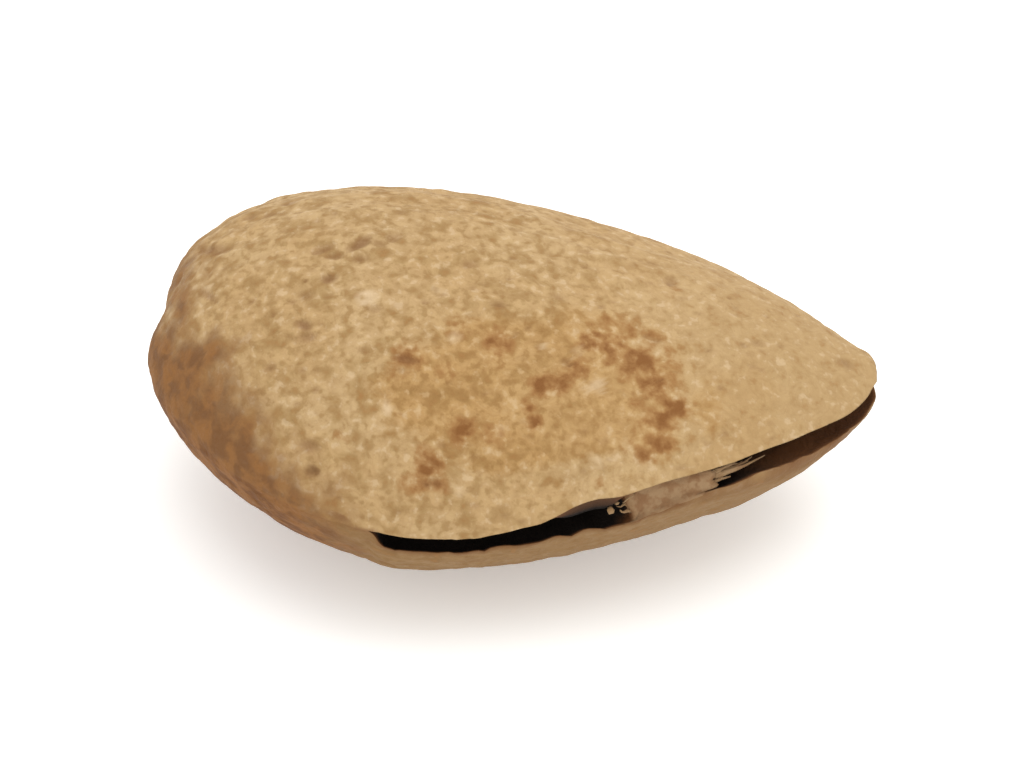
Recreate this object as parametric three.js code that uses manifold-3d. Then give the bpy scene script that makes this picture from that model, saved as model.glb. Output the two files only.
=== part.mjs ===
// An almond in its shell, lying on one cheek, with the seam split open on one side and the loose
// kernel inside. Millimetres: +X runs along the nut to its pointed tip, -Y faces the split seam,
// +Z is up, and z = 0 is the surface that the nut rests on, below the middle of its outline.
import * as THREE from 'three';
import { mergeVertices } from 'three/addons/utils/BufferGeometryUtils.js';
import Module from 'manifold-3d';

// Driving dimensions of the nut, and where it is widest, as a share of its length from the stem end
const NUT_LENGTH = 35;
const WIDEST_SHARE = 0.37;
const SEAM_HALF_WIDTH = 11.7;
const BACK_HALF_WIDTH = 10;
const CHEEK_HALF_THICKNESS = 7.4;
const TIP_DROOP = THREE.MathUtils.degToRad(5.5);
const STEM_END_SWAY = 0.7;
const SEAM_CLIMB = 1.6;
const LOWER_CHEEK_LEAN = 0.22;
const REST_SPOT_DEPTH = 0.22;

// The walls of the shell, and the kernel's own size
const WALL_CHEEK = 2.1;
const WALL_SEAM = 3.2;
const WALL_BACK = 2.6;
const WALL_STEM = 3;
const WALL_TIP = 4;
const KERNEL_LENGTH = 24.5;
const KERNEL_WIDTH = 13.4;
const KERNEL_THICKNESS = 8.6;
const KERNEL_GAP = 0.5;

// The split along the seam, in X from the nut's widest station: open, then a shallow groove where
// the halves still hold together, then open again and round the tip
const SPLIT_START = -1.9;
const GROOVE_START = 10.3;
const TIP_SPLIT_START = 13.2;
const SPLIT_GAP = 0.65;
const WIDE_SPLIT_GAP = 1.05;
const TIP_SPLIT_GAP = 0.65;
const SPLIT_LIFT = 0.65;
const SPLIT_DEPTH = 5;
const GROOVE_DEPTH = 0.5;
const TIP_SPLIT_DEPTH = 13;
const LIP_STEP = 0.45;
const LIP_RAGGEDNESS = 0.1;
const LOWER_TIP_STEP = 0.6;

// Relief of the shell
const LUMP_HEIGHT = 0.16;
const LUMP_SIZE = 7;
const FURROW_DEPTH = 0.09;
const FURROWS_ROUND = 17;
const KEEL_HEIGHT = 0.3;
const KEEL_HALF_WIDTH = 1.3;
const BACK_GROOVE_DEPTH = 0.28;
const BACK_GROOVE_HALF_WIDTH = 0.6;
const STEM_SCAR_DEPTH = 0.5;
const STEM_SCAR_RADIUS = 2.3;
const PITS = 150;
const PIT_DEPTH = 0.24;
const PIT_HALF_LENGTH = 1.5;
const PIT_HALF_WIDTH = 1.05;

// Cells along each side of the cube that a form is made from
const SHELL_CELLS = 26;
const CAVITY_CELLS = 12;
const KERNEL_CELLS = 14;

const GOLDEN_ANGLE = Math.PI * (3 - Math.sqrt(5));
const { smoothstep, clamp } = THREE.MathUtils;

const wasm = await Module();
wasm.setup();

// Three almond forms about the station where they are widest
const shellForm = {
  toStem: NUT_LENGTH * WIDEST_SHARE,
  toTip: NUT_LENGTH * (1 - WIDEST_SHARE),
  seam: SEAM_HALF_WIDTH,
  back: BACK_HALF_WIDTH,
  cheek: CHEEK_HALF_THICKNESS,
  edge: 1.14,
  tipEdge: 0.22,
};
const cavityForm = {
  toStem: shellForm.toStem - WALL_STEM,
  toTip: shellForm.toTip - WALL_TIP,
  seam: shellForm.seam - WALL_SEAM,
  back: shellForm.back - WALL_BACK,
  cheek: shellForm.cheek - WALL_CHEEK,
  edge: 1.05,
  tipEdge: 0.1,
};
const kernelForm = {
  toStem: KERNEL_LENGTH * WIDEST_SHARE,
  toTip: KERNEL_LENGTH * (1 - WIDEST_SHARE),
  seam: KERNEL_WIDTH / 2,
  back: KERNEL_WIDTH / 2,
  cheek: KERNEL_THICKNESS / 2,
  edge: 1.02,
  tipEdge: 0.08,
};

// A repeatable draw between 0 and 1 for one item of a row
function draw(item, salt) {
  const wave = Math.sin(item * 12.9898 + salt * 78.233) * 43758.5453;
  return wave - Math.floor(wave);
}

// A smooth value between -1 and 1 for any place, blended from draws at the corners of its cell
function noise(x, y, z) {
  const [i, j, k] = [x, y, z].map(Math.floor);
  const [u, v, w] = [x - i, y - j, z - k].map((share) => share * share * (3 - 2 * share));
  const corner = (a, b, c) => draw(i + a + 57 * (j + b), k + c);
  const row = (b, c) => THREE.MathUtils.lerp(corner(0, b, c), corner(1, b, c), u);
  const sheet = (c) => THREE.MathUtils.lerp(row(0, c), row(1, c), v);
  return 2 * THREE.MathUtils.lerp(sheet(0), sheet(1), w) - 1;
}

// Radius of a form as a share of its widest: round towards the stem, a pointed arch to the tip
function girth(along) {
  if (along < 0) {
    return Math.max(0, 1 - along * along) ** 0.48;
  }
  return Math.max(0, 1 - along ** 1.66) ** 0.6;
}

// Height of the seam over the nut's middle, which it climbs from on its way to the tip
function seamHeight(x) {
  return SEAM_CLIMB * smoothstep(x, 1, 14);
}

// Height of the middle of the split over the seam
function splitLift(x) {
  return SPLIT_LIFT * smoothstep(x, 9, 17);
}

// Puts a unit direction on a form's surface
function onForm(form, direction) {
  const turn = Math.asin(clamp(direction.x, -1, 1));
  const along = 0.7 * Math.sin(turn) + (0.3 * turn) / (Math.PI / 2);
  const round = Math.hypot(direction.y, direction.z) || 1;
  const across = direction.y / round;
  const up = direction.z / round;
  const wide = girth(along);
  const edge = 1 + (form.edge - 1) * smoothstep(along, -1, -0.3) + form.tipEdge * smoothstep(along, 0, 0.9);
  const x = along * (along < 0 ? form.toStem : form.toTip);
  const lean = 1 - Math.sign(up) * LOWER_CHEEK_LEAN * smoothstep(along, 0.05, 0.6);
  return new THREE.Vector3(
    x,
    across * wide * (across < 0 ? form.seam : form.back) + STEM_END_SWAY * smoothstep(-along, 0, 1),
    Math.sign(up) * Math.abs(up) ** edge * wide ** 1.08 * form.cheek * lean + seamHeight(x),
  );
}

// A closed mesh of a form, from a cube whose grid is spread evenly over the directions
function formGeometry(form, cells) {
  const cube = new THREE.BoxGeometry(2, 2, 2, cells, cells, cells);
  cube.deleteAttribute('normal');
  cube.deleteAttribute('uv');
  const geometry = mergeVertices(cube);
  const place = geometry.attributes.position;
  const spread = (side) => Math.tan((side * Math.PI) / 4);
  for (let i = 0; i < place.count; i++) {
    const direction = new THREE.Vector3().fromBufferAttribute(place, i);
    direction.set(spread(direction.x), spread(direction.y), spread(direction.z)).normalize();
    place.setXYZ(i, ...onForm(form, direction));
  }
  geometry.computeVertexNormals();
  return geometry;
}

// Moves each vertex along its normal by what relief says of its place
function raise(geometry, relief) {
  const place = geometry.attributes.position;
  const normal = geometry.attributes.normal;
  for (let i = 0; i < place.count; i++) {
    const point = new THREE.Vector3().fromBufferAttribute(place, i);
    const outward = new THREE.Vector3().fromBufferAttribute(normal, i);
    point.addScaledVector(outward, relief(point));
    place.setXYZ(i, ...point);
  }
  geometry.deleteAttribute('normal');
  return geometry;
}

// Pits spaced by the golden angle, fewer towards the tip, none at the seams or the resting spot
function pitSites() {
  const sites = [];
  for (let k = 0; k < PITS; k++) {
    const x = 1 - (2 * (k + 0.5)) / PITS;
    const angle = k * GOLDEN_ANGLE + 0.9 * draw(k, 1);
    const round = Math.sqrt(1 - x * x);
    const direction = new THREE.Vector3(x, round * Math.cos(angle), round * Math.sin(angle));
    const centre = onForm(shellForm, direction);
    const atSeam = Math.abs(centre.z - seamHeight(centre.x)) < 1.6;
    const atRest = centre.z < 0 && Math.hypot(centre.x - 1, centre.y) < 5.5;
    const kept = draw(k, 2) < 0.62 - 0.5 * x;
    if (kept && !atSeam && !atRest) {
      const size = 0.7 + 0.6 * draw(k, 3);
      sites.push({ centre, size, depth: PIT_DEPTH * (0.5 + 0.5 * draw(k, 4)) });
    }
  }
  return sites;
}

const pits = pitSites();

function pitDepthAt(point) {
  let depth = 0;
  for (const pit of pits) {
    const along = (point.x - pit.centre.x) / (PIT_HALF_LENGTH * pit.size);
    const aside = Math.hypot(point.y - pit.centre.y, point.z - pit.centre.z);
    const reach = along * along + (aside / (PIT_HALF_WIDTH * pit.size)) ** 2;
    if (reach < 1) {
      depth = Math.max(depth, pit.depth * (1 - reach) ** 1.5);
    }
  }
  return depth;
}

// Height of the shell's surface over its plain form
function shellRelief(point) {
  const { x, y, z } = point;
  const lumps = noise(x / LUMP_SIZE, y / LUMP_SIZE + 3, z / LUMP_SIZE);
  const small = noise(x / 2.6 + 9, y / 2.6, z / 2.6);
  const angle = Math.atan2(z, y);
  const wander = noise(x / 9, y / 5, z / 5 + 7);
  const body = 1 - smoothstep(Math.abs(x - 1), 7, 17);
  const underneath = z < 0 ? 1 - smoothstep(Math.hypot(x - 1, y), 3, 8) : 0;
  const furrow = Math.sin(FURROWS_ROUND * angle + 4 * wander) * body * (1 - underneath);
  const ends = 1 - smoothstep(x, 17, 22);
  const above = z - seamHeight(x);
  const seamward = y < 0 ? KEEL_HEIGHT * Math.exp(-((above / KEEL_HALF_WIDTH) ** 2)) * ends : 0;
  const groove = y > 0 ? BACK_GROOVE_DEPTH * Math.exp(-((above / BACK_GROOVE_HALF_WIDTH) ** 2)) : 0;
  const scar = x < 0 ? Math.exp(-(((y - 1) ** 2 + z * z) / STEM_SCAR_RADIUS ** 2)) : 0;
  const tipStep = above < splitLift(x) ? LOWER_TIP_STEP * smoothstep(x, 16, 21) : 0;
  return (
    LUMP_HEIGHT * lumps +
    0.07 * small +
    FURROW_DEPTH * furrow +
    seamward -
    groove * body -
    tipStep -
    STEM_SCAR_DEPTH * scar -
    pitDepthAt(point)
  );
}

// Long wrinkles of the kernel's skin, from its broad end to its tip
function kernelRelief(point) {
  const angle = Math.atan2(point.z, point.y);
  const wander = noise(point.x / 6, point.y / 4, point.z / 4);
  const fade = 1 - smoothstep(point.x, 4, 14);
  return 0.1 * Math.sin(13 * angle + 3 * wander) * fade - 0.1 * Math.abs(wander);
}

function toSolid(geometry) {
  const plain = geometry.index ? geometry.toNonIndexed() : geometry.clone();
  plain.deleteAttribute('normal');
  plain.deleteAttribute('uv');
  const merged = mergeVertices(plain, 1e-4);
  const vertProperties = new Float32Array(merged.attributes.position.array);
  const triVerts = new Uint32Array(merged.index.array);
  return new wasm.Manifold(new wasm.Mesh({ numProp: 3, vertProperties, triVerts }));
}

function toGeometry(solid) {
  const mesh = solid.getMesh();
  const geometry = new THREE.BufferGeometry();
  geometry.setAttribute('position', new THREE.BufferAttribute(mesh.vertProperties, 3));
  geometry.setIndex(new THREE.BufferAttribute(mesh.triVerts, 1));
  geometry.computeVertexNormals();
  return geometry;
}

// Height of the split between its lips at a place along X
function splitGap(x) {
  const opening = smoothstep(x, SPLIT_START - 0.4, SPLIT_START + 0.6);
  const wider = (WIDE_SPLIT_GAP - SPLIT_GAP) * smoothstep(x, 3, 10);
  const atTip = (WIDE_SPLIT_GAP - TIP_SPLIT_GAP) * smoothstep(x, 17.5, shellForm.toTip);
  return (SPLIT_GAP + wider - atTip) * opening;
}

// How far the split reaches in from the seam's edge
function splitDepth(x) {
  const shut = smoothstep(x, GROOVE_START - 0.5, GROOVE_START);
  const open = smoothstep(x, TIP_SPLIT_START, TIP_SPLIT_START + 0.5);
  const through = (TIP_SPLIT_DEPTH - SPLIT_DEPTH) * smoothstep(x, 16, 20);
  return SPLIT_DEPTH - (SPLIT_DEPTH - GROOVE_DEPTH) * (shut - open) + through;
}

// Parts the halves along the seam facing -Y and round the tip, between two ragged lips
function split() {
  const end = shellForm.toTip + 1.5;
  const steps = Math.round((end - SPLIT_START) / LIP_STEP);
  const upper = [];
  const lower = [];
  const inner = [];
  for (let i = 0; i <= steps; i++) {
    const x = SPLIT_START + ((end - SPLIT_START) * i) / steps;
    const line = seamHeight(x) + splitLift(x) + 0.12 * noise(x / 5, 0.5, 0);
    const half = splitGap(x) / 2;
    const ragged = (row) => LIP_RAGGEDNESS * noise(x / 0.8, row, 0.5);
    const edge = -SEAM_HALF_WIDTH * girth(Math.max(0, Math.min(1, x / shellForm.toTip)));
    upper.push(new THREE.Vector2(x, line + half + ragged(2.5)));
    lower.push(new THREE.Vector2(x, line - half + ragged(8.5)));
    inner.push(new THREE.Vector2(x, edge + splitDepth(x)));
  }
  const slot = new THREE.Shape([...lower, ...upper.reverse()]);
  const blade = new THREE.ExtrudeGeometry(slot, { depth: 30, bevelEnabled: false });
  blade.rotateX(Math.PI / 2).translate(0, 15, 0);
  const before = new THREE.Vector2(SPLIT_START - 1, -15);
  const beyond = new THREE.Vector2(end + 1, -15);
  const plan = new THREE.Shape([before, beyond, ...inner.reverse()]);
  const reach = new THREE.ExtrudeGeometry(plan, { depth: 8, bevelEnabled: false });
  return toSolid(blade).intersect(toSolid(reach.translate(0, 0, -4)));
}

// The hard shell: one piece, hollow, split along the seam, with a small flat spot underneath
function shell() {
  const outer = toSolid(raise(formGeometry(shellForm, SHELL_CELLS), shellRelief));
  const hollow = toSolid(formGeometry(cavityForm, CAVITY_CELLS));
  const cut = outer.subtract(hollow).subtract(split());
  const tipped = toGeometry(cut).rotateY(TIP_DROOP);
  tipped.computeBoundingBox();
  const floor = new THREE.BoxGeometry(2 * NUT_LENGTH, 2 * NUT_LENGTH, 10);
  floor.translate(0, 0, tipped.boundingBox.min.z + REST_SPOT_DEPTH - 5);
  const material = new THREE.MeshStandardMaterial({ color: 0xc4a276, roughness: 0.9, metalness: 0 });
  const mesh = new THREE.Mesh(toGeometry(toSolid(tipped).subtract(toSolid(floor))), material);
  mesh.name = 'shell';
  return mesh;
}

// The loose kernel, lying on the floor of the hollow
function kernel() {
  const geometry = raise(formGeometry(kernelForm, KERNEL_CELLS), kernelRelief);
  geometry.translate(0.4, 0, KERNEL_GAP + kernelForm.cheek - cavityForm.cheek);
  geometry.rotateY(TIP_DROOP).computeVertexNormals();
  const material = new THREE.MeshStandardMaterial({ color: 0x8a5430, roughness: 0.7, metalness: 0 });
  const mesh = new THREE.Mesh(geometry, material);
  mesh.name = 'kernel';
  return mesh;
}

const almond = new THREE.Group();
almond.add(shell(), kernel());
const outline = new THREE.Box3().setFromObject(almond);
const middle = outline.getCenter(new THREE.Vector3());
almond.position.set(-middle.x, -middle.y, -outline.min.z);

export default almond;
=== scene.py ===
# An almond lying in its hard shell, split along one seam, with the loose kernel inside, shown on a
# plain pale floor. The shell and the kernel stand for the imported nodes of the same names.
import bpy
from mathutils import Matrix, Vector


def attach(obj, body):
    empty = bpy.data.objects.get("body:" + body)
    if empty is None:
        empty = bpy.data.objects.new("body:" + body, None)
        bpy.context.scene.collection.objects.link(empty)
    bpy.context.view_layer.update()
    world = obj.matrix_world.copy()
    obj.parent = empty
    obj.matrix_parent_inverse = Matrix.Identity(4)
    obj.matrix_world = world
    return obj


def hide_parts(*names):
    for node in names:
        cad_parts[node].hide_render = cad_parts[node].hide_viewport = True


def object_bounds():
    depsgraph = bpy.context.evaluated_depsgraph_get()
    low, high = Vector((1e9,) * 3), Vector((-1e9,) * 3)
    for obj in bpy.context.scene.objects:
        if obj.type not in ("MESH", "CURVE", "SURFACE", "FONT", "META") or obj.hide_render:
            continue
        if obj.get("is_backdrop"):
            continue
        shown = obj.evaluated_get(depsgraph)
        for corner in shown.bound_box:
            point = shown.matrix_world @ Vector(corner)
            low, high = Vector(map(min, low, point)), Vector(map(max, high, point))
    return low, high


bl_info = {
    "name": "Almond in its split shell",
    "version": (1, 0, 0),
    "blender": (4, 5, 0),
    "location": "View3D > Sidebar > Almond",
    "description": "Builds the almond's shell, kernel and seam fibres, and their stage",
    "category": "Add Mesh",
}

from collections import namedtuple

import bmesh
import bpy
import numpy as np
from bpy.props import FloatProperty, FloatVectorProperty, IntProperty, PointerProperty
from mathutils import Vector

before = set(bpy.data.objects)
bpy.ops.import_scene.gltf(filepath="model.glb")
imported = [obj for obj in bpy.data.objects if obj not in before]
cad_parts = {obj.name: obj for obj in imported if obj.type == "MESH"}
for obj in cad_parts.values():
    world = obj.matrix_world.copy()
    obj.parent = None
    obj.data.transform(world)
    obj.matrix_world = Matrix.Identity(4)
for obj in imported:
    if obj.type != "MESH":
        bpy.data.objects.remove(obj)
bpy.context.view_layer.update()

MM = 0.001
GOLDEN_ANGLE = np.pi * (3 - np.sqrt(5))

# Heights that count as none on the grid, and on directions kept in single precision
FLAT = 1e-6
NEARLY_FLAT = 1e-5

# How many times coarser the hollow's grid is than the outside's, away from the seam
INNER_COARSENESS = 4

# Where the widest station of the nut lies in the frame, how high the seam is there, and how far the
# tip droops
WIDEST_STATION = Vector((-4.335, 0.914, 7.276))
SEAM_LEVEL = 7.3
TIP_DROOP = np.radians(5.5)

# The camera's turn round the nut and its height, by which the dents and the spots are placed too
VIEW_AZIMUTH = np.radians(4)
VIEW_ELEVATION = np.radians(42)
TOWARD_VIEWER = (0.05, -0.74, 0.67)

# Stations of the split, in millimetres from the widest one towards the tip
SPLIT_START = -1.7
JOINED_START = 10.3
JOINED_END = 14.1
BACK_SPLIT_START = 18.2

# Depths in the wall of the split, from 0 at the lip to 1 at the hollow: its rings, the ring at
# which the halves hold together, its cuts across, and how much shallower that stretch lies
LIP_RINGS = (0.008, 0.04, 0.09, 0.2, 0.4, 0.7, 1)
JOINED_RING = 0.2
JOINED_CUTS = 5
JOINED_LIFT = 0.65
RING_SLACK = 0.01

# Depths of the relief, in millimetres, and the share of the plain pits that is kept
PIT_SHARE = 0.35
PORE_DEPTH = 0.16
PINHOLE_DEPTH = 0.07
DENT_DEPTH = 0.16
CORNER_HEIGHT = 0.35

# Welds of the mesh, and where the hollow's tip and the lower tip start, in metres of the frame
WELD = 1e-7
TIP_WELD = 3e-5
HOLLOW_TIP = 0.0115
LOWER_TIP = 0.0168

# Fibres by number: the first ones lie at the left end of the joined stretch, the last ones are long
FIBRE_COUNT = 20
FIRST_RIGHT_FIBRE = 5
FIRST_LONG_FIBRE = 14

# Crumbs in the split: number, station, level between the lips and radius
CRUMBS = ((40, 9.5, 0.5, 0.19), (41, 9.75, 0.68, 0.11))

# The floor's own glow, the sky's strength, and the key light's place, size and power
FLOOR_GLOW = 0.3
SKY_STRENGTH = 0.92
KEY_PLACE = (0.07, 0.06, 0.62)
KEY_SIZE = 0.7
KEY_POWER = 2.4


# Steps, blends and repeatable noise

def ease(value, low, high):
    """A value's way from low to high as 0 to 1, smooth at both ends."""
    share = np.clip((value - low) / (high - low), 0, 1)
    return share * share * (3 - 2 * share)


def ridge(offset, width):
    """A smooth rise to 1 where the offset is 0, about as wide as given to either side."""
    return np.exp(-((offset / width) ** 2))


def unit(vectors):
    return vectors / np.maximum(np.linalg.norm(vectors, axis=1, keepdims=True), 1e-9)


def blended(first, second, share):
    """Rows of places between two others, each by its own share of the second."""
    share = share[:, None]
    return first * (1 - share) + second * share


def interpolated(at, stations, places):
    """Places between some given ones, by their stations."""
    return np.stack([np.interp(at, stations, axis) for axis in places.T], axis=-1)


def draw(item, salt):
    """A repeatable draw between 0 and 1 for one item of a row."""
    wave = np.sin(item * 12.9898 + salt * 78.233) * 43758.5453
    return wave - np.floor(wave)


def noise(x, y, z):
    """A smooth value between -1 and 1, blended from draws at the corners of a place's cell."""
    x, y, z = np.broadcast_arrays(x, y, z)
    i, j, k = np.floor(x), np.floor(y), np.floor(z)
    u, v, w = (share * share * (3 - 2 * share) for share in (x - i, y - j, z - k))

    def corner(a, b, c):
        return draw(i + a + 57 * (j + b), k + c)

    def row(b, c):
        return corner(0, b, c) * (1 - u) + corner(1, b, c) * u

    def sheet(c):
        return row(0, c) * (1 - v) + row(1, c) * v

    return 2 * (sheet(0) * (1 - w) + sheet(1) * w) - 1


# The almond forms

Form = namedtuple("Form", "to_stem to_tip seam back cheek edge tip_edge sway climb lean")


def shell_form(sizes):
    length = sizes.length / MM
    share = sizes.widest_share
    return Form(
        to_stem=length * share, to_tip=length * (1 - share), seam=sizes.seam_half_width / MM,
        back=sizes.back_half_width / MM, cheek=sizes.cheek_half_thickness / MM, edge=1.14,
        tip_edge=0.22, sway=sizes.stem_sway / MM, climb=sizes.seam_climb / MM, lean=0.22,
    )


def cavity_form(sizes):
    outer = shell_form(sizes)
    return outer._replace(
        to_stem=outer.to_stem - sizes.stem_wall / MM, to_tip=outer.to_tip - sizes.tip_wall / MM,
        seam=outer.seam - sizes.seam_wall / MM, back=outer.back - sizes.back_wall / MM,
        cheek=outer.cheek - sizes.cheek_wall / MM, edge=1.05, tip_edge=0.1,
    )


def kernel_form(shell, kernel):
    length = kernel.length / MM
    share = shell.widest_share
    half_width = kernel.width / MM / 2
    return shell_form(shell)._replace(
        to_stem=length * share, to_tip=length * (1 - share), seam=half_width, back=half_width,
        cheek=kernel.thickness / MM / 2, edge=1.02, tip_edge=0.08,
    )


def girth(along):
    """A form's radius as a share of its widest: round to the stem, a pointed arch to the tip."""
    round_end = np.clip(1 - along * along, 0, 1) ** 0.48
    tip_end = np.clip(1 - np.clip(along, 0, 1) ** 1.66, 0, 1) ** 0.6
    return np.where(along < 0, round_end, tip_end)


def seam_height(form, x):
    return form.climb * ease(x, 1, 14)


def along_of(direction):
    """How far along a form a direction points, from -1 at the stem end to 1 at the tip."""
    turn = np.arcsin(np.clip(direction[:, 0], -1, 1))
    return 0.7 * np.sin(turn) + 0.3 * turn / (np.pi / 2)


def station_at(form, along):
    """The same in millimetres from the widest station."""
    return along * np.where(along < 0, form.to_stem, form.to_tip)


def edge_power(form, along):
    """How blunt or sharp a form is at its seams: the power that its height rises by."""
    stemward = (form.edge - 1) * ease(along, -1, -0.3)
    return 1 + stemward + form.tip_edge * ease(along, 0, 0.9)


def crest(form, along, side):
    """Height of the cheek over the seam on one side, up or down."""
    lean = 1 - side * form.lean * ease(along, 0.05, 0.6)
    return girth(along) ** 1.08 * form.cheek * lean


def round_section(form, along, x, across, up):
    """Offset to the back and height of places round a form, from their cosine and sine."""
    y = across * girth(along) * np.where(across < 0, form.seam, form.back)
    y = y + form.sway * ease(-along, 0, 1)
    rise = np.abs(up) ** edge_power(form, along)
    return y, np.sign(up) * rise * crest(form, along, np.sign(up)) + seam_height(form, x)


def split_opening(x, seam_side):
    """How far the split has opened, from 0 to 1, at a station on the seam's side or on the back."""
    front = ease(x, SPLIT_START, SPLIT_START + 1)
    behind = ease(x, BACK_SPLIT_START, 20)
    return np.where(seam_side, front, behind)


def split_lift(x):
    """Height of the middle of the split over the seam."""
    return 0.65 * ease(x, 9, 17)


def lip_height(x, side, seam_side):
    """Height of the upper or the lower lip over the seam."""
    line = split_lift(x) + 0.12 * noise(x / 5, 0.5, 0) - 0.4 * ridge(x - 1.5, 3.5)
    upper = line + (0.65 + 0.4 * ease(x, 3, 10) - 0.4 * ease(x, 17.5, 22.05)) / 2
    gap = 0.72 + 0.4 * ease(x, 3, 9) - 0.4 * ease(x, 10, 13.5)
    gap = gap - 0.15 * ease(x, 14.5, 17)
    teeth = 0.2 * noise(x / 0.9, 8.5, 0.5) + 0.5 * np.abs(noise(x / 0.7, 3.5, 0.5)) ** 0.7 - 0.25
    lower = upper - gap + teeth * (1 - 0.8 * ease(x, 9.5, 13)) - 0.25 * ease(x, 16, 19)
    raised = 0.5 * ease(x, 6, 8.3) * (1 - 0.3 * ease(x, 8.7, 10))
    upper = upper + raised * (1 - ease(x, 10.8, 15)) + 0.03 * noise(x / 0.8, 2.5, 0.5)
    return np.where(side > 0, upper, lower) * split_opening(x, seam_side)


def crest_reach(form):
    """Share of the way to the tip at which the upper cheek comes down to its lip."""
    low, high = 0.8, 1.0
    for _ in range(40):
        middle = np.array([(low + high) / 2])
        if crest(form, middle, 1)[0] > lip_height(middle * form.to_tip, 1, True)[0]:
            low = middle[0]
        else:
            high = middle[0]
    return low


def on_form(form, direction, half, closing=1.0):
    """Puts unit directions on a form. half is 1 above the split, -1 below, 0 where it is whole."""
    side = np.where(half < 0, -1.0, 1.0)
    front = direction[:, 1] <= 0
    along = along_of(direction)
    reach = 1 - (1 - crest_reach(form)) * (np.clip(half, -1, 1) + 1) / 2
    along = along - (1 - reach) * np.clip(along, 0, 1) ** 8
    x = station_at(form, along)
    top = crest(form, along, 1)
    upper = np.where(half > 0, np.maximum(lip_height(x, 1, front), 0), 0) * closing
    share = np.clip(upper / np.maximum(top, 1e-6), 0, 1)
    lip_turn = np.arcsin(share ** (1 / edge_power(form, along)))
    turn = np.arctan2(side * direction[:, 2], np.abs(direction[:, 1]))
    turn = lip_turn + turn * (1 - lip_turn / (np.pi / 2))
    up = np.sin(turn) * side
    across = np.cos(turn) * np.where(front, -1.0, 1.0)
    y, z = round_section(form, along, x, across, up)
    shift = np.where(half < 0, lip_height(x, -1, front), 0) * closing
    shift = np.minimum(shift, 0.6 * top)
    recess = 1 - np.sqrt(1 - (np.maximum(shift, 0) / np.maximum(top, 1e-6)) ** 2)
    near_rim = (1 - np.clip(np.abs(up), 0, 1)) ** 2
    return np.stack((x, y * (1 - recess * near_rim), z + shift * near_rim), axis=1)


def on_plain_form(form, direction):
    """Puts unit directions on a form as if it had never split."""
    along = along_of(direction)
    around = np.hypot(direction[:, 1], direction[:, 2])
    x = station_at(form, along)
    y, z = round_section(form, along, x, direction[:, 1] / around, direction[:, 2] / around)
    return np.stack((x, y, z), axis=1)


def form_normals(form, direction, half):
    """Outward normals of a form, from small steps to either side of each direction."""
    helper = np.where(np.abs(direction[:, :1]) < 0.9, [[1.0, 0, 0]], [[0, 1.0, 0]])
    first = unit(np.cross(direction, helper))
    second = np.cross(direction, first)

    def step(tangent):
        ahead, behind = (unit(direction + way * tangent) for way in (0.004, -0.004))
        return on_form(form, ahead, half) - on_form(form, behind, half)

    normal = unit(np.cross(step(first), step(second)))
    return normal * np.where((normal * direction).sum(axis=1, keepdims=True) < 0, -1, 1)


def to_frame(place):
    """Turns millimetres from the widest station into metres of the frame, the tip drooping."""
    cosine, sine = np.cos(TIP_DROOP), np.sin(TIP_DROOP)
    x = place[:, 0] * cosine + place[:, 2] * sine
    z = place[:, 2] * cosine - place[:, 0] * sine
    turned = np.stack((x, place[:, 1], z), axis=1) + np.array(WIDEST_STATION)
    return turned * MM


# Relief of the shell

def pit_sites(form):
    """Centres, sizes and depths of the pits: spaced by the golden angle, fewer towards the tip."""
    count = 150
    k = np.arange(count)
    x = 1 - 2 * (k + 0.5) / count
    angle = k * GOLDEN_ANGLE + 0.9 * draw(k, 1)
    wide = np.sqrt(1 - x * x)
    direction = np.stack((x, wide * np.cos(angle), wide * np.sin(angle)), axis=1)
    centre = on_plain_form(form, direction)
    at_seam = np.abs(centre[:, 2] - seam_height(form, centre[:, 0])) < 1.6
    at_rest = (centre[:, 2] < 0) & (np.hypot(centre[:, 0] - 1, centre[:, 1]) < 5.5)
    kept = (draw(k, 2) < 0.62 - 0.5 * x) & ~at_seam & ~at_rest
    return centre[kept], 0.7 + 0.6 * draw(k, 3)[kept], 0.12 + 0.12 * draw(k, 4)[kept]


def pit_depths(form, place):
    depth = np.zeros(len(place))
    for centre, size, deep in zip(*pit_sites(form)):
        along = (place[:, 0] - centre[0]) / (1.5 * size)
        aside = np.hypot(place[:, 1] - centre[1], place[:, 2] - centre[2]) / (1.05 * size)
        reach = np.clip(1 - along * along - aside * aside, 0, 1)
        depth = np.maximum(depth, deep * reach ** 1.5)
    return depth


def shell_relief(form, place, half):
    """Height over the form: lumps, furrows, keel, back groove, set-back lower tip and scar."""
    x, y, z = place.T
    lumps = noise(x / 7, y / 7 + 3, z / 7)
    small = noise(x / 2.6 + 9, y / 2.6, z / 2.6)
    wander = noise(x / 9, y / 5, z / 5 + 7)
    body = 1 - ease(np.abs(x - 1), 7, 17)
    underneath = np.where(z < 0, 1 - ease(np.hypot(x - 1, y), 3, 8), 0)
    furrow = np.sin(17 * np.arctan2(z, y) + 4 * wander) * body * (1 - underneath)
    above = z - seam_height(form, x)
    keel = np.where(y < 0, 0.3 * ridge(above, 1.3) * (1 - ease(x, 17, 22)), 0)
    groove = np.where(y > 0, 0.28 * ridge(above, 0.6), 0)
    scar = np.where(x < 0, np.exp(-((y - 1) ** 2 + z * z) / 2.3 ** 2), 0)
    set_back = 0.55 * ease(x, 15, 21)
    set_back = set_back * np.maximum(ease(-y, 0, 2), ease(x, BACK_SPLIT_START, 20.5))
    tip_step = np.where(half < 0, set_back, 0)
    raised = 0.16 * lumps + 0.07 * small + 0.05 * furrow + keel
    return raised - groove * body - tip_step - 0.5 * scar


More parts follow.
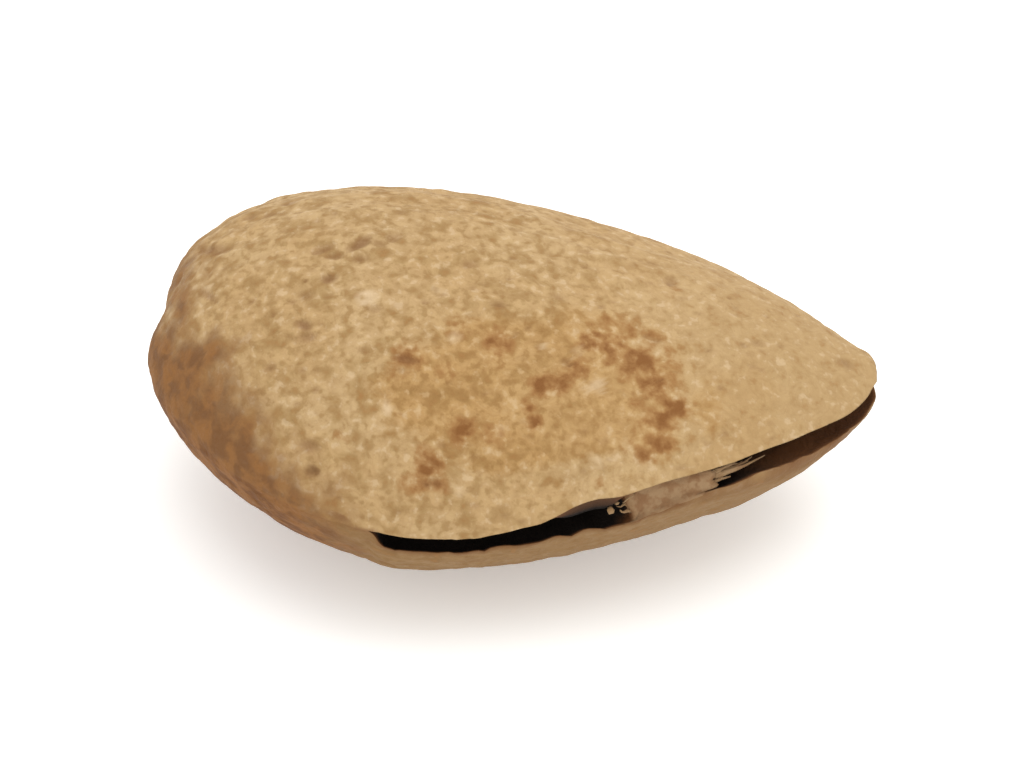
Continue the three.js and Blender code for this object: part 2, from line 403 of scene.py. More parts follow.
def grain_relief(place):
    """Fine sandy lumps over the coarse relief."""
    x, y, z = place.T
    lumps = noise(x / 1.3, y / 0.9, z / 0.9)
    worms = 1 - np.abs(noise(x / 1.0 + 3 + 0.6 * lumps, y / 0.8, z / 0.8))
    grain = noise(x / 0.5 + 5, y / 0.42, z / 0.42)
    return 0.03 * lumps - 0.05 * worms ** 4 + 0.025 * grain


def scattered_pores(place, cell, chance):
    """Small oblong hollows, at most one to a cell of space, as a share of their depth."""
    scaled = place / np.array(cell)
    corner = np.floor(scaled)
    deepest = np.zeros(len(place))
    for step in np.ndindex(3, 3, 3):
        at = corner + np.array(step) - 1
        item = at[:, 0] + 57 * at[:, 1] + 113 * at[:, 2]
        centre = at + np.stack([0.2 + 0.6 * draw(item, salt) for salt in (1, 2, 3)], axis=1)
        size = 0.22 + 0.2 * draw(item, 4)
        apart = np.linalg.norm(scaled - centre, axis=1) / size
        hollow = np.clip(1 - apart * apart, 0, 1) ** 1.5 * (draw(item, 5) < chance)
        deepest = np.maximum(deepest, hollow * (0.5 + 0.5 * draw(item, 6)))
    return deepest


def seen_place(framed):
    """Where a point shows to the viewer, in millimetres rightwards and upwards."""
    x, y, z = framed.T
    right = x * np.cos(VIEW_AZIMUTH) + y * np.sin(VIEW_AZIMUTH)
    level = y * np.cos(VIEW_AZIMUTH) - x * np.sin(VIEW_AZIMUTH)
    return right, level * np.sin(VIEW_ELEVATION) + z * np.cos(VIEW_ELEVATION)


def placed_dents(framed):
    """The upper cheek's longer dents, each with its place as seen, half length, slant and depth."""
    dents = (
        (-14.1, 11.8, 1.0, 0.1, 0.7), (-7.2, 12.1, 0.8, 0.5, 1), (-8.9, 11.9, 0.6, 0.1, 0.7),
        (-8.6, 10.4, 0.5, 0, 0.9), (-9.8, 8.2, 0.5, -0.2, 1), (-14.3, 9.6, 0.6, -0.6, 0.7),
        (-9.3, 1.4, 0.45, -0.7, 0.9), (-8.1, -0.8, 0.8, -0.5, 0.8), (7.5, 10.4, 0.4, -0.2, 0.5),
        (15.7, 6.4, 0.55, -0.35, 0.45), (-5.0, 6.6, 0.8, -0.2, 0.8), (-11.4, 6.2, 0.4, 0.3, 0.5),
        (-2.0, 11.2, 0.5, 0.1, 0.5), (-5.6, 12.4, 0.5, 0.3, 0.6), (2.2, 9.6, 0.4, -0.1, 0.4),
        (11.6, 7.4, 0.4, -0.3, 0.4),
    )
    right, upward = seen_place(framed)
    wave = 0.12 * noise(right / 0.4, upward / 0.4, 3.5)
    deepest = np.zeros(len(right))
    for centre_right, centre_up, half_length, slant, depth in dents:
        along = (right - centre_right) * np.cos(slant) + (upward - centre_up) * np.sin(slant)
        aside = (upward - centre_up) * np.cos(slant) - (right - centre_right) * np.sin(slant) + wave
        reach = np.clip(1 - (along / half_length) ** 2 - (aside / 0.26) ** 2, 0, 1)
        deepest = np.maximum(deepest, depth * reach)
    return deepest


def stain_masks(framed):
    """The stain's pale field and its darker spots and arc, over the upper cheek."""
    x, y, z = framed.T
    right, upward = seen_place(framed)
    blotch = noise(x / 1.4, y / 1.1, z / 1.1)
    fleck = noise(x / 0.5, y / 0.42, z / 0.42)
    away = np.hypot((right - 1.6) / 7.8, (upward - 5.2) / 4.2)
    field = 1 - ease(away + 0.22 * blotch, 0.7, 1.2)
    ring = np.abs(np.hypot(right - 4.6, (upward - 5.3) * 1.05) - 2.9 + 0.5 * blotch)
    spots = (1 - ease(ring, 0.3, 1.4)) * ease(right + 0.5 * upward, 6.2, 8.4) * 0.4
    marks = (
        (-4.9, 6.7, 0.8, 0.75), (-5.3, 6.1, 0.6, 0.5), (-3.1, 6, 0.5, 0.55), (-0.7, 7.4, 0.7, 0.7),
        (-0.7, 6.6, 0.65, 0.35), (1.4, 5.4, 0.6, 1), (2.1, 5.4, 0.55, 0.8), (2.7, 5.9, 0.55, 0.7),
        (3.1, 6.3, 0.6, 0.7), (3.7, 7.5, 0.65, 0.95), (4.7, 7.4, 0.7, 0.9), (4.5, 6.6, 0.5, 0.5),
        (6, 6.6, 0.8, 1), (5.5, 6.1, 0.6, 0.7), (6.7, 5.4, 0.85, 0.85), (7.7, 4.4, 0.7, 0.85),
        (7.1, 3.7, 0.85, 0.65), (6.4, 3.8, 0.6, 0.6), (6.9, 2.7, 0.6, 0.9), (6.1, 2.1, 0.6, 0.8),
        (5.5, 2.6, 0.5, 0.5), (0.7, 4.4, 0.45, 0.6), (1, 3.6, 0.5, 0.85), (-2.3, 3.4, 0.65, 0.9),
        (-2.5, 2.8, 0.45, 0.7), (-0.9, 3, 0.7, 0.6), (-3.9, 1.6, 0.75, 1), (-4.1, 2.2, 0.6, 0.6),
        (-4.4, 0.9, 0.75, 0.7), (-3.5, 0.8, 0.6, 0.7), (-5, 0.9, 0.55, 0.5), (-2.6, 8.3, 0.8, 0.35),
        (5.8, 4.6, 0.6, 0.35), (4.1, 0.9, 0.45, 0.35), (7.5, 9.9, 0.5, 0.35), (-8, 3, 0.5, 0.4),
    )
    for centre_right, centre_up, reach, strength in marks:
        apart = np.hypot(right - centre_right, (upward - centre_up) * 1.15) / reach
        mark = strength * (1 - ease(apart + 0.3 * fleck + 0.2 * blotch, 0.3, 1.7))
        spots = np.maximum(spots, mark)
    return field, np.clip(spots * (0.85 + 0.35 * fleck), 0, 1)


def pale_grains(framed):
    """The palest grains that catch the light."""
    right, upward = seen_place(framed)
    shown = np.zeros(len(right))
    for centre_right, centre_up, reach, strength in (
        (-6.8, 9.5, 0.5, 1), (-5.8, 4.3, 0.4, 1), (-3.5, 9.9, 0.35, 0.5), (-2.7, 7.7, 0.4, 0.5),
        (1.4, 7.2, 0.3, 0.6), (3.9, 5.4, 0.5, 0.7), (4.1, 1.8, 0.4, 0.6), (-2.6, 0.5, 0.5, 0.5),
        (-0.5, 3.3, 0.4, 0.4), (3.0, 7.0, 0.35, 0.4),
    ):
        apart = np.hypot(right - centre_right, (upward - centre_up) * 1.3) / reach
        apart = apart + 0.7 * noise(right / 0.25, upward / 0.25, reach * 10)
        shown = np.maximum(shown, strength * (1 - ease(apart, 0.1, 1.2)))
    return shown


def stem_browning_and_shade(framed):
    """The stem end's own browning, with painted shade along its lower front edge as seen."""
    x, y, z = framed.T
    right, upward = seen_place(framed)
    patchy = 1.1 * noise(x / 1.7, y / 1.7, z / 1.7) + 0.9 * noise(x / 0.6, y / 0.6, z / 0.6)
    # The front share is the stem end's brown patch, made strongest at its lower left edge as seen:
    # painted shade
    edge = -0.82 * right - 0.57 * upward + patchy
    front = ease(edge, 5.8, 9.4) * ease(-right, 3, 9)
    end = ease(-x + patchy, 14, 17)
    return np.maximum(front, 0.8 * end)


def joined_share(x, seam_side):
    """How far the halves still hold together at a station, from 0 to 1."""
    return np.where(seam_side, ease(x, 9.8, 10.6) * (1 - ease(x, 13.8, 14.6)), 0)


# Mesh building

def grid_layers(bm):
    """Layers for each vertex's direction, its half of the shell and its depth in the wall."""
    layers = {"direction": bm.verts.layers.float_vector.new("direction")}
    for name in ("half", "depth"):
        layers[name] = bm.verts.layers.float.new(name)
    return layers


def cube_ball(bm, cells, depth, layers):
    """A cube cut into cells along each side, its corners tagged with a depth."""
    made = bmesh.ops.create_cube(bm, size=2)["verts"]
    for vert in made:
        vert[layers["depth"]] = depth
    edges = list({edge for vert in made for edge in vert.link_edges})
    bmesh.ops.subdivide_edges(bm, edges=edges, cuts=cells - 1, use_grid_fill=True)


def seam_edges(bm, depth, layers):
    deep = layers["depth"]
    return [
        edge for edge in bm.edges
        if all(abs(vert.co.z) < FLAT and vert[deep] == depth for vert in edge.verts)
    ]


def edge_stations(form, edge, layers):
    """Stations of an edge's two ends, and whether it lies on the seam's side."""
    direction = np.array([vert[layers["direction"]] for vert in edge.verts])
    return station_at(form, along_of(direction)), direction[:, 1].min() < -FLAT


def in_split(form, edge, layers):
    stations, on_seam_side = edge_stations(form, edge, layers)
    return stations.max() > (SPLIT_START if on_seam_side else BACK_SPLIT_START)


def in_joined_stretch(form, edge, layers):
    stations, on_seam_side = edge_stations(form, edge, layers)
    return JOINED_START < stations.mean() < JOINED_END and on_seam_side


def tag_halves(bm, layers):
    """Tags each vertex with the half of the shell that its faces belong to."""
    half = layers["half"]
    for vert in bm.verts:
        heights = [vert.co.z]
        if abs(vert.co.z) <= FLAT:
            heights = [face.calc_center_median().z for face in vert.link_faces]
        vert[half] = int(min(heights) > 0) - int(max(heights) < 0)


def split_shell(bm, form, layers):
    """Opens the seam's edges, walls the lips inwards and closes the stretch that still holds."""
    deep, half = layers["depth"], layers["half"]
    outer = [edge for edge in seam_edges(bm, 0, layers) if in_split(form, edge, layers)]
    inner = [
        edge for edge in seam_edges(bm, 1, layers)
        if in_split(form, edge, layers) and not in_joined_stretch(form, edge, layers)
    ]
    bmesh.ops.split_edges(bm, edges=outer + inner)
    tag_halves(bm, layers)
    rim = [edge for edge in bm.edges if edge.is_boundary and edge.verts[0][deep] == 0]
    for depth in LIP_RINGS:
        made = bmesh.ops.extrude_edge_only(bm, edges=rim)["geom"]
        for item in made:
            if isinstance(item, bmesh.types.BMVert):
                item[deep] = depth
        rim = [item for item in made if isinstance(item, bmesh.types.BMEdge) and item.is_boundary]
        if depth == JOINED_RING:
            chain = [edge for edge in rim if in_joined_stretch(form, edge, layers)]
            bmesh.ops.bridge_loops(bm, edges=chain)
            ring = [
                edge for edge in bm.edges
                if all(abs(vert[deep] - depth) < RING_SLACK for vert in edge.verts)
            ]
            across = [edge for edge in ring if edge.verts[0][half] * edge.verts[1][half] < 0]
            bmesh.ops.subdivide_edges(bm, edges=across, cuts=JOINED_CUTS)
            rim = [
                edge for edge in bm.edges
                if edge.is_boundary and abs(edge.verts[0][deep] - depth) < RING_SLACK
            ]


def spread_over_ball(bm, layers):
    """Spreads the cube's grid evenly over the directions and keeps them in a layer."""
    for vert in bm.verts:
        spread = Vector(np.tan(np.array(vert.co) * np.pi / 4)).normalized()
        vert[layers["direction"]] = spread


# Arrays of the grid's vertices, and of the shares of small hollows and of facing the viewer there
Grid = namedtuple("Grid", "direction half depth front station at_seam")
Hollows = namedtuple("Hollows", "pores pinholes dents toward")


def read_grid(mesh, form):
    """The split grid's directions, halves and depths, and what follows from them, as arrays."""
    direction = unit(read_attribute(mesh, "direction", 3))
    return Grid(
        direction, read_attribute(mesh, "half"), read_attribute(mesh, "depth"),
        direction[:, 1] <= 0, station_at(form, along_of(direction)),
        np.abs(direction[:, 2]) < NEARLY_FLAT,
    )


def between_lips(place, grid):
    """Places between the lower and the upper lip, at each vertex's own angle round the split."""
    angle = np.arctan2(grid.direction[:, 1], grid.direction[:, 0])

    def at_lip(side):
        lip = (grid.depth == 0) & grid.at_seam & ((grid.half == side) | (grid.half == 0))
        order = np.argsort(angle[lip])
        return interpolated(angle, angle[lip][order], place[lip][order])

    return blended(at_lip(-1), at_lip(1), (grid.half + 1) / 2)


def cavity_closing(x, seam_side):
    """The split's height at the hollow, closing at both ends of the joined stretch."""
    closed = ease(x, 9.2, 10.25) * (1 - ease(x, 14.1, 15.2))
    return np.where(seam_side, 1 - closed, 1)


def lip_curl(grid):
    """Where the upper lip curls down and shows its underside, from 0 to 1."""
    x = grid.station
    curl = ease(x, 6.2, 8) * (1 - ease(x, 9.4, 10.4))
    return curl * (grid.half > 0) * grid.front


def add_attribute(mesh, name, values):
    attribute = mesh.attributes.new(name, "FLOAT", "POINT")
    attribute.data.foreach_set("value", np.asarray(values, dtype=np.float32))


def read_attribute(mesh, name, width=1):
    data = mesh.attributes[name].data
    values = np.zeros(len(data) * width, dtype=np.float32)
    data.foreach_get("vector" if width == 3 else "value", values)
    values = values.astype(float)
    return values.reshape(-1, 3) if width == 3 else values


def finished_mesh(bm, name):
    mesh = bpy.data.meshes.new(name)
    bm.to_mesh(mesh)
    bm.free()
    return mesh


def new_object(name, data):
    obj = bpy.data.objects.new(name, data)
    bpy.context.scene.collection.objects.link(obj)
    return obj


def finished_object(name, mesh, material):
    mesh.materials.append(material)
    mesh.polygons.foreach_set("use_smooth", np.ones(len(mesh.polygons), dtype=bool))
    return new_object(name, mesh)


def shell_surface(outer, grid):
    """Places on the shell's outside with its relief, and the shares of its small hollows."""
    place = on_form(outer, grid.direction, grid.half)
    normal = form_normals(outer, grid.direction, grid.half)
    rough = to_frame(place) / MM
    near_lip = np.where(grid.front, ease(np.abs(rough[:, 2] - SEAM_LEVEL), 0.6, 1.6), 1)
    off_floor = ease(rough[:, 2], 0.4, 1.2)
    chance = 0.3 - 0.2 * ease(grid.station, -4, 12)
    pores = scattered_pores(place, (2.1, 1.1, 1.1), chance) * near_lip * off_floor
    pinholes = scattered_pores(place + 7, (0.8, 0.6, 0.6), 0.25) * off_floor
    toward = np.clip((normal @ np.array(TOWARD_VIEWER)) * 8, 0, 1)
    dents = placed_dents(rough) * toward
    right, upward = seen_place(rough)
    corner = np.exp(-((right - 16.9) ** 2 + (upward - 6.4) ** 2) / 0.9 ** 2) * (grid.half >= 0)
    relief = shell_relief(outer, place, grid.half) - PIT_SHARE * pit_depths(outer, place)
    relief = relief + grain_relief(place) * off_floor
    relief = relief - PORE_DEPTH * pores - PINHOLE_DEPTH * pinholes - DENT_DEPTH * dents
    relief = relief + CORNER_HEIGHT * corner
    return place + normal * relief[:, None], Hollows(pores, pinholes, dents, toward)


def walled_shell(cavity, grid, surface):
    """Adds the walls of the split and the hollow's side to places on the shell's outside."""
    direction, half, depth, front, station, at_seam = grid
    joined = joined_share(station, front)
    closing = cavity_closing(station, front)
    flat = unit(direction * [1, 1, 0])
    above, below, whole = (
        on_form(cavity, flat, np.full(len(flat), side), closing) for side in (1.0, -1.0, 0.0)
    )
    inner_lip = blended(below, above, (half + 1) / 2)
    inner_lip = np.where(((half == 0) | (closing <= 0))[:, None], whole, inner_lip)
    behind_ring = JOINED_LIFT * JOINED_RING * (1 - depth) / (1 - JOINED_RING)
    shallow = np.where(depth <= JOINED_RING, JOINED_LIFT * depth, behind_ring)
    walled = blended(between_lips(surface, grid), inner_lip, depth - shallow * joined)

    opening = split_opening(station, front) * (1 - joined)
    widening = ease(depth, 0, 0.2) * (1 - ease(depth, 0.5, 1)) * opening
    walled[:, 2] += widening * half * np.where(half > 0, 0.2, 0.5)
    drop = ease(depth, 0.006, 0.07) * (1 - ease(depth, 0.09, 0.4))
    walled[:, 2] -= 0.95 * lip_curl(grid) * drop
    middle = 1 - half * half
    fibres = noise(station / 0.35, half * 1.5, 0.5) + 0.6 * noise(station / 0.15, half * 3, 4.5)
    bulge = joined * (0.12 * middle + 0.07 * fibres * (depth > 0.08))
    walled += flat * (bulge * (depth < JOINED_RING + RING_SLACK))[:, None]
    left_end = ridge(station - JOINED_START, 0.4) * front
    right_end = ridge(station - JOINED_END, 0.5) * front
    ragged = noise(half * 2.5, depth * 3, 1.5) * middle
    reach_in = (depth > JOINED_RING - RING_SLACK) * (1 - depth)
    walled[:, 0] += reach_in * left_end * (0.2 * middle + 0.5 * ragged - 0.45 * half)
    walled[:, 0] += reach_in * right_end * (0.6 * middle + 1.2 * ragged)

    inside = np.where(at_seam[:, None], inner_lip, on_form(cavity, direction, half, closing))
    place = np.where(((depth > 0) & (depth < 1))[:, None], walled, surface)
    return np.where((depth >= 1)[:, None], inside, place)


def seam_hairlines(grid, above):
    """The closed seam's thin dark line, ahead of the split and along the back."""
    x = grid.station
    ahead = ridge(above - 0.1 * noise(x / 0.6, 1.5, 2.5), 0.13)
    ahead = ahead * ease(x, -6, -3.5) * (1 - ease(x, -1.5, -1))
    ahead = ahead * ease(noise(x / 0.9, 6.5, 1.5), -0.5, 0.1)
    behind = 0.8 * ridge(above - 0.12 * noise(x / 0.8, 2.5, 5.5), 0.12)
    behind = behind * ease(noise(x / 1.5, 4.5, 2.5), -0.7, 0.2)
    behind = behind * (1 - ease(x, 17.5, 18.5)) * ease(x, -12, -9)
    return np.where(grid.front, ahead, behind)


def shell_marks(outer, grid, place, framed, hollows):
    """What the shell's material reads at each vertex, from 0 to 1."""
    direction, half, depth, front, station, _ = grid
    outside = depth == 0
    shows = outside * hollows.toward
    field, spots = stain_masks(framed)
    above = place[:, 2] - seam_height(outer, place[:, 0])
    # The hollow mark is painted shade in the pores and dents, with the closed seam's own dark line
    hollow = np.maximum(np.maximum(hollows.pores, hollows.dents), seam_hairlines(grid, above))
    seamward = ease(-direction[:, 1], -0.2, 0.2)
    # The lower mark dulls the lower half below the seam: partly its own duller colour, partly
    # painted shade of the side that faces down
    below = ease(-above, -0.6, 0.3) * seamward + ease(-above, -1, 4) * (1 - seamward)
    joined = joined_share(station, front) * (depth < JOINED_RING + RING_SLACK)
    tipward = ease(station, 14.5, 19) * (depth < 0.5)
    # The cut mark runs from the broken lips' own brown to painted shade: the deeper walls of the
    # split and the curled underside of the upper lip turn near black, less so towards the tip
    cut = np.clip(0.35 + 0.3 * lip_curl(grid) + depth * 4, 0, 1 - 0.5 * tipward) * (1 - joined)
    line = noise(station / 0.9, half * 3.5, 3.5) + 0.6 * noise(station / 0.3, half * 6, 1.5)
    # Painted shade: a darker band along the lower lip's outer edge just below the split, wider
    # towards the tip
    split_edge_shade = ridge(-6 * direction[:, 2], 0.35 + 0.45 * ease(station, 12, 16))
    split_edge_shade = np.clip(split_edge_shade * (0.75 + 0.5 * noise(station / 0.6, 2.5, 6.5)), 0, 1)
    split_edge_shade = split_edge_shade * split_opening(station, front) * seamward
    return {
        "hollow": np.clip(hollow, 0, 1) * outside,
        "pinhole": hollows.pinholes * outside,
        "stain": field * shows,
        "spots": spots * shows,
        "pale": pale_grains(framed) * shows,
        # The brown mark is the stem end's browning, with painted shade along its lower front edge
        "brown": stem_browning_and_shade(framed) * outside,
        "lower": np.where(half < 0, below, 0),
        "cut": np.where(outside, 0, cut),
        "streak": ease(line, -0.1, 0.8) * 0.7 + 0.3 * (half > 0.5),
        "joined": np.where(outside, 0, np.maximum(joined, 0.4 * tipward)),
        "split_edge_shade": np.where((half < 0) & outside, split_edge_shade, 0),
    }


def close_shell(mesh):
    """Welds the ends of the split in the hollow, smooths the lower tip and turns faces outwards."""
    bm = bmesh.new()
    bm.from_mesh(mesh)
    deep, half = (bm.verts.layers.float[name] for name in ("depth", "half"))
    everywhere = -1
    for start, distance in ((everywhere, WELD), (HOLLOW_TIP, TIP_WELD)):
        ends = [vert for vert in bm.verts if vert[deep] >= 1 and vert.co.x > start]
        bmesh.ops.remove_doubles(bm, verts=ends, dist=distance)
    bmesh.ops.holes_fill(bm, edges=[edge for edge in bm.edges if edge.is_boundary])
    lower_tip = [
        vert for vert in bm.verts
        if vert[deep] < 0.15 and vert[half] < 0 and vert.co.x > LOWER_TIP
    ]
    for _ in range(3):
        bmesh.ops.smooth_vert(
            bm, verts=lower_tip, factor=0.5, use_axis_x=True, use_axis_y=True, use_axis_z=True,
        )
    bmesh.ops.triangulate(bm, faces=[face for face in bm.faces if len(face.verts) > 4])
    bmesh.ops.recalc_face_normals(bm, faces=bm.faces[:])
    bm.to_mesh(mesh)
    bm.free()


def shell_mesh(sizes):
    outer, cavity = shell_form(sizes), cavity_form(sizes)
    bm = bmesh.new()
    layers = grid_layers(bm)
    cube_ball(bm, sizes.cells, 0, layers)
    cube_ball(bm, sizes.cells // INNER_COARSENESS, 1, layers)
    inner_seam = seam_edges(bm, 1, layers)
    bmesh.ops.subdivide_edges(bm, edges=inner_seam, cuts=INNER_COARSENESS - 1)
    spread_over_ball(bm, layers)
    split_shell(bm, outer, layers)
    mesh = finished_mesh(bm, "shell_skin")
    grid = read_grid(mesh, outer)
    surface, hollows = shell_surface(outer, grid)
    place = walled_shell(cavity, grid, surface)
    framed = to_frame(place)
    framed[:, 2] = np.maximum(framed[:, 2], 0)
    mesh.vertices.foreach_set("co", framed.ravel())
    mesh.update()
    for name, values in shell_marks(outer, grid, place, framed / MM, hollows).items():
        add_attribute(mesh, name, values)
    close_shell(mesh)
    return mesh


def strand(bm, points, radius):
    """A thin five-sided strand through the given places."""
    before = len(bm.verts)
    made = bmesh.ops.create_cone(
        bm, cap_ends=True, segments=5, radius1=radius, radius2=radius * 0.25, depth=1,
    )["verts"]
    long_edges = {
        edge for vert in made for edge in vert.link_edges
        if abs(edge.verts[0].co.z - edge.verts[1].co.z) > 0.5
    }
    bmesh.ops.subdivide_edges(bm, edges=list(long_edges), cuts=4)
    bm.verts.ensure_lookup_table()
    stations = np.linspace(0, 1, len(points))

    def on_path(share):
        return Vector(interpolated(share, stations, points))

    for vert in bm.verts[before:]:
        share = vert.co.z + 0.5
        heading = on_path(min(1, share + 0.1)) - on_path(max(0, share - 0.1))
        turn = heading.to_track_quat("Z", "Y")
        vert.co = on_path(share) + turn @ Vector((vert.co.x, vert.co.y, 0))


def place_in_split(form, station, level, inward):
    """A place on the seam's side, part of the way from the lower to the upper lip."""
    angle = np.linspace(-np.pi / 2 - 0.6, 0, 600)
    direction = np.stack((np.cos(angle), np.sin(angle), np.zeros(len(angle))), axis=1)
    lips = (on_form(form, direction, np.full(len(angle), side)) for side in (1.0, -1.0))
    high, low = (interpolated(station, lip[:, 0], lip) for lip in lips)
    return low + (high - low) * level + np.array((0, inward, 0))


def fibre_mesh(sizes):
    """Fibres that run out lengthwise at both ends of the joined stretch, and two crumbs."""
    form = shell_form(sizes)
    bm = bmesh.new()
    for item in range(FIBRE_COUNT):
        start, run = 10.8 - 0.6 * draw(item, 1), -(0.3 + 0.6 * draw(item, 2))
        if item >= FIRST_RIGHT_FIBRE:
            start, run = 13.5 + 0.8 * draw(item, 1), 0.5 + 0.9 * draw(item, 2)
        share = 0.1 + 0.8 * draw(item, 3)
        if item >= FIRST_LONG_FIBRE:
            share, run = 0.42 + 0.2 * draw(item, 3), 1.3 + 0.9 * draw(item, 2)
        slant = 0.4 * (draw(item, 4) - 0.5)
        path = []
        for step in np.linspace(0, 1, 5):
            level = share + slant * step + 0.14 * (draw(item + 50 * step, 5) - 0.5)
            inward = 0.14 + 0.3 * step * draw(item, 6)
            path.append(place_in_split(form, start + run * step, np.clip(level, 0, 1), inward))
        strand(bm, to_frame(np.array(path)), (0.06 + 0.08 * draw(item, 7)) * MM)
    for item, station, level, radius in CRUMBS:
        centre = to_frame(place_in_split(form, station, level, 0.12)[None])[0]
        made = bmesh.ops.create_icosphere(bm, subdivisions=1, radius=radius * MM)["verts"]
        for number, vert in enumerate(made):
            vert.co *= 0.7 + 0.6 * draw(number, item)
            vert.co += Vector(centre)
    bmesh.ops.recalc_face_normals(bm, faces=bm.faces[:])
    return finished_mesh(bm, "seam_fibres")


def kernel_mesh(shell, kernel):
    """A plump seed with lengthwise wrinkles, which lies on the hollow's floor."""
    form = kernel_form(shell, kernel)
    bm = bmesh.new()
    layers = grid_layers(bm)
    cube_ball(bm, kernel.cells, 0, layers)
    spread_over_ball(bm, layers)
    mesh = finished_mesh(bm, "kernel_skin")
    direction = read_attribute(mesh, "direction", 3)
    at_end = np.hypot(direction[:, 1], direction[:, 2]) < FLAT
    direction[at_end, 1] = FLAT
    direction = unit(direction)
    place = on_plain_form(form, direction)
    x, y, z = place.T
    wander = noise(x / 6, y / 4, z / 4)
    fade = 1 - ease(x, 4, 14)
    relief = 0.1 * np.sin(13 * np.arctan2(z, y) + 3 * wander) * fade - 0.1 * np.abs(wander)
    relief = relief - 0.05 * np.abs(noise(x / 3, y / 0.7, z / 0.7))
    relief = relief - 0.02 * np.abs(noise(x, y / 0.3, z / 0.3))
    place = place + direction * relief[:, None]
    floor_to_middle = kernel.gap / MM + form.cheek - cavity_form(shell).cheek
    place += np.array([0.4, 0, floor_to_middle])
    mesh.vertices.foreach_set("co", to_frame(place).ravel())
    mesh.update()
    return mesh


# Materials

def linear(colour):
    """A colour as it looks on screen, turned into light values."""
    return tuple(c / 12.92 if c <= 0.04045 else ((c + 0.055) / 1.055) ** 2.4 for c in colour)


def shade(colour):
    """The same for a node's colour, which has a fourth value for its opacity."""
    return (*linear(colour), 1)


def new_material(name):
    material = bpy.data.materials.new(name)
    material.use_nodes = True
    return material, material.node_tree.nodes["Principled BSDF"]


def set_inputs(node, values):
    for name, value in values.items():
        node.inputs[name].default_value = value


class Graph:
    """Adds nodes to a tree and joins them."""

    def __init__(self, tree):
        self.tree = tree

    def add(self, kind, inputs, output=0, **settings):
        node = self.tree.nodes.new(kind)
        for name, value in settings.items():
            setattr(node, name, value)
        for key, value in inputs.items():
            if isinstance(value, bpy.types.NodeSocket):
                self.tree.links.new(value, node.inputs[key])
            else:
                node.inputs[key].default_value = value
        return node.outputs[output]

    def noise(self, place, scale, detail=3.0, distortion=0.0):
        inputs = {"Vector": place, "Scale": scale, "Detail": detail, "Distortion": distortion}
        return self.add("ShaderNodeTexNoise", inputs, "Fac")

    def share(self, value, low, high, most=1.0):
        """The value's way from low to high, as 0 to most."""
        inputs = {"Value": value, "From Min": low, "From Max": high, "To Max": most}
        return self.add("ShaderNodeMapRange", inputs, interpolation_type="SMOOTHSTEP")

    def maths(self, operation, first, second=0.0):
        return self.add("ShaderNodeMath", {0: first, 1: second}, operation=operation)

    def plus(self, first, second):
        return self.maths("ADD", first, second)

    def minus(self, first, second):
        return self.maths("SUBTRACT", first, second)

    def times(self, first, second):
        return self.maths("MULTIPLY", first, second)

    def attribute(self, name, most=1.0):
        """A mark of the mesh, as 0 to most."""
        mark = self.add("ShaderNodeAttribute", {}, "Fac", attribute_name=name)
        return mark if most == 1 else self.times(mark, most)

    def blend(self, factor, first, second, kind="MIX"):
        inputs = {0: factor, 6: first, 7: second}
        return self.add("ShaderNodeMix", inputs, 2, data_type="RGBA", blend_type=kind)

    def layered(self, base, layers):
        """Lays colours over a base, each as strongly as its mask says."""
        for mask, colour in layers:
            is_socket = isinstance(colour, bpy.types.NodeSocket)
            base = self.blend(mask, base, colour if is_socket else shade(colour))
        return base

    def mottled(self, place):
        """Places the mottle group and gives its five outputs."""
        node = self.tree.nodes.new("ShaderNodeGroup")
        node.node_tree = bpy.data.node_groups.get("mottle") or mottle_group()
        self.tree.links.new(place, node.inputs["Place"])
        return node.outputs

    def finish(self, shader, base, height, depth):
        """Gives a shader its colour and a fine relief."""
        self.tree.links.new(base, shader.inputs["Base Color"])
        inputs = {"Height": height, "Strength": 1.0, "Distance": depth}
        self.tree.links.new(self.add("ShaderNodeBump", inputs), shader.inputs["Normal"])


def mottle_group():
    """A group that turns a place into mottling of three sizes, streaks and a sandy height."""
    tree = bpy.data.node_groups.new("mottle", "ShaderNodeTree")
    tree.interface.new_socket("Place", in_out="INPUT", socket_type="NodeSocketVector")
    graph = Graph(tree)
    source = tree.nodes.new("NodeGroupInput").outputs
    inputs = {0: source["Place"], "Scale": 1 / MM}
    place = graph.add("ShaderNodeVectorMath", inputs, operation="SCALE")
    grains = graph.noise(place, 2.2, 3.0)
    swirl = graph.noise(place, 0.9, 2.0, 1.6)
    sand = graph.noise(place, 4.2, 4.0)
    outputs = {
        "Patches": graph.noise(place, 0.16, 2.0),
        "Mottling": graph.noise(place, 1.1, 3.5, 0.3),
        "Grains": grains,
        "Streaks": graph.share(graph.maths("ABSOLUTE", graph.minus(swirl, 0.5)), 0.13, 0.0),
        "Height": graph.plus(graph.times(grains, 0.6), graph.times(sand, 0.4)),
    }
    target = tree.nodes.new("NodeGroupOutput").inputs
    for name, socket in outputs.items():
        tree.interface.new_socket(name, in_out="OUTPUT", socket_type="NodeSocketFloat")
        tree.links.new(socket, target[name])
    return tree


